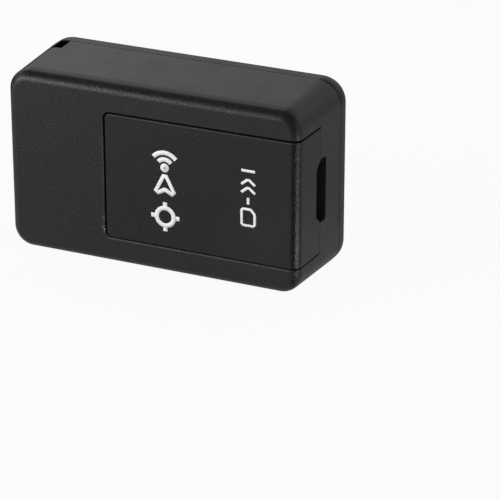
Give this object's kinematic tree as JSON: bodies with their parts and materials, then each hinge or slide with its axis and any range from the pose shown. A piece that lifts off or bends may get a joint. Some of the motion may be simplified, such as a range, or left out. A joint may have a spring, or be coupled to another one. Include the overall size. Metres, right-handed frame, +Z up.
{
  "type": "tracking device",
  "caption": "Small box-shaped tracker with drafted sides, a sliding cover over its card bay, a charging slot in one end and disc magnets in its back.",
  "frame": {"origin": "middle of the base of the case's box, standing on one long narrow side", "axes": "+X along the case toward the charging end, +Y from the covered front face to the magnetic back, +Z up"},
  "size_m": [0.035, 0.0128, 0.0212],
  "materials": {
    "case_plastic": "fine spark-eroded matte black",
    "cover_plastic": "fine spark-eroded matte black with white print",
    "magnet_nickel": "nickel plate with fine handling scratches",
    "board_laminate": "green solder mask",
    "tinned_sheet": "satin tinned sheet",
    "chip_resin": "matt black moulded resin",
    "holder_plastic": "black moulded polymer",
    "gold_contact": "gold flash",
    "soft_rubber": "dull soft rubber",
    "lamp_resin": "clear resin over a white cup",
    "ceramic": "fired ceramic with tinned ends",
    "cell_foil": "dull laminated foil",
    "tape_film": "amber polyimide film",
    "lead_red": "glossy red insulation",
    "lead_black": "glossy black insulation",
    "foam": "dark open foam"
  },
  "bodies": {
    "case": {"housing": "case_plastic", "back_cover": "case_plastic", "magnet_left": "magnet_nickel", "magnet_right": "magnet_nickel", "circuit_board": "board_laminate", "shield_can": "tinned_sheet", "modem_chip": "chip_resin", "sim_holder_base": "holder_plastic", "sim_holder_cage": "tinned_sheet", "sim_contacts": "gold_contact", "microphone": "tinned_sheet", "mic_boot": "soft_rubber", "status_leds": "lamp_resin", "crystal": "tinned_sheet", "chip_components": "ceramic", "usb_shell": "tinned_sheet", "usb_tongue": "holder_plastic", "usb_contacts": "gold_contact", "charger_chip": "chip_resin", "battery_cell": "cell_foil", "battery_board": "board_laminate", "battery_tape": "tape_film", "battery_wire_red": "lead_red", "battery_wire_black": "lead_black", "insulating_sheet": "tape_film", "foam_pad": "foam", "antenna_strip": "tape_film", "antenna_spring": "gold_contact"},
    "cover": {"sim_cover": "cover_plastic"}
  },
  "joints": [
    {"name": "cover_slide", "type": "slide", "parent": "case", "child": "cover", "axis": [1, 0, 0], "range_m": [0, 0.022]}
  ]
}
